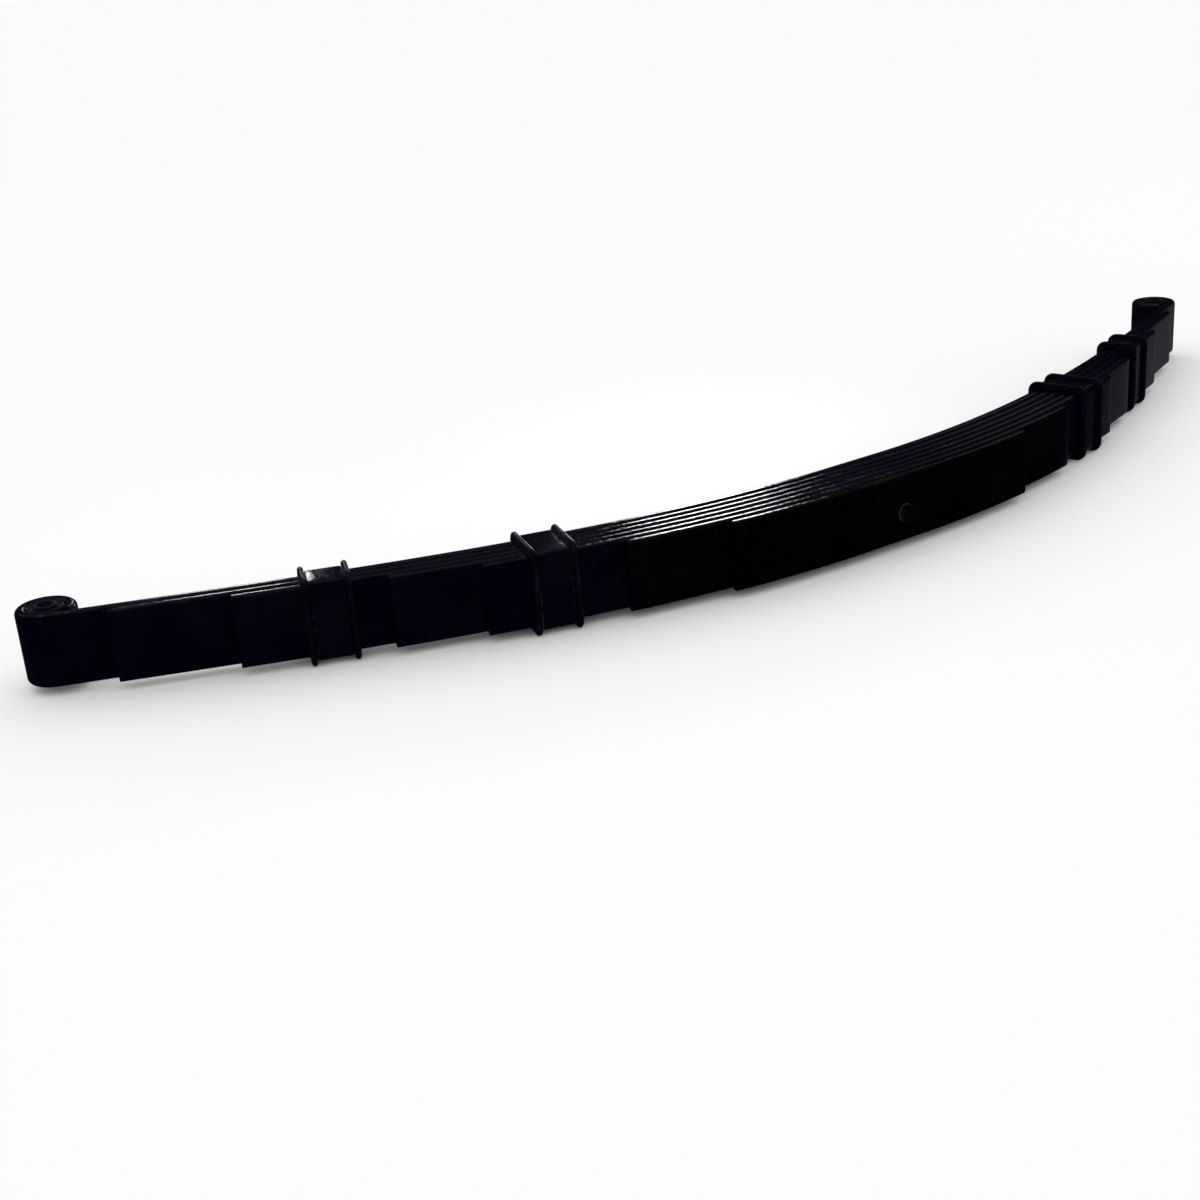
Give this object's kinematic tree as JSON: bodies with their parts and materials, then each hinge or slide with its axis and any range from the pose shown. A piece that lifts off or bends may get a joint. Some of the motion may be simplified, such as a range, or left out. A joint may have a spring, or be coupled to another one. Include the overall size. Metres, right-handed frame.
{
  "type": "leaf spring",
  "caption": "Multi-leaf suspension spring with rolled, rubber-bushed eyes at both ends, wrapped rebound clips on plastic liners and a centre bolt.",
  "frame": {"origin": "on the centre bolt's axis, on the flat face of the shortest leaf that seats on the axle, halfway across the leaves", "axes": "+X along the spring towards the rear eye, +Y out of the bow's hollow side (up on a vehicle with the spring over the axle), +Z across the leaves (up as the spring lies on its edge)"},
  "size_m": [1.7134, 0.3645, 0.0936],
  "materials": {
    "leaf_paint": "gloss black paint with a blue tint over spring steel",
    "strap_paint": "gloss black paint over bent steel strap",
    "liner": "moulded black plastic",
    "bush_rubber": "moulded rubber",
    "shell_steel": "steel tube, painted over with the leaf",
    "sleeve_steel": "darkened steel tube",
    "bolt_steel": "steel, painted over with the leaves"
  },
  "bodies": {
    "spring_pack": {"main_leaf": "leaf_paint", "leaf_2": "leaf_paint", "leaf_3": "leaf_paint", "leaf_4": "leaf_paint", "leaf_5": "leaf_paint", "leaf_6": "leaf_paint", "leaf_7": "leaf_paint", "centre_bolt": "bolt_steel", "centre_nut": "bolt_steel", "front_outer_strap": "strap_paint", "front_outer_liner": "liner", "front_inner_strap": "strap_paint", "front_inner_liner": "liner", "rear_inner_strap": "strap_paint", "rear_inner_liner": "liner", "rear_outer_strap": "strap_paint", "rear_outer_liner": "liner", "front_shell": "shell_steel", "front_rubber": "bush_rubber", "rear_shell": "shell_steel", "rear_rubber": "bush_rubber"},
    "front_sleeve": {"front_sleeve": "sleeve_steel"},
    "rear_sleeve": {"rear_sleeve": "sleeve_steel"}
  },
  "joints": [
    {"name": "front_bush_twist", "type": "hinge", "parent": "spring_pack", "child": "front_sleeve", "pos_m": [-0.82667, 0.32249, 0], "axis": [0, 0, 1], "range_deg": [-20, 20], "stiffness_Nm_per_rad": 60},
    {"name": "rear_bush_twist", "type": "hinge", "parent": "spring_pack", "child": "rear_sleeve", "pos_m": [0.82667, 0.32249, 0], "axis": [0, 0, 1], "range_deg": [-20, 20], "stiffness_Nm_per_rad": 60}
  ]
}
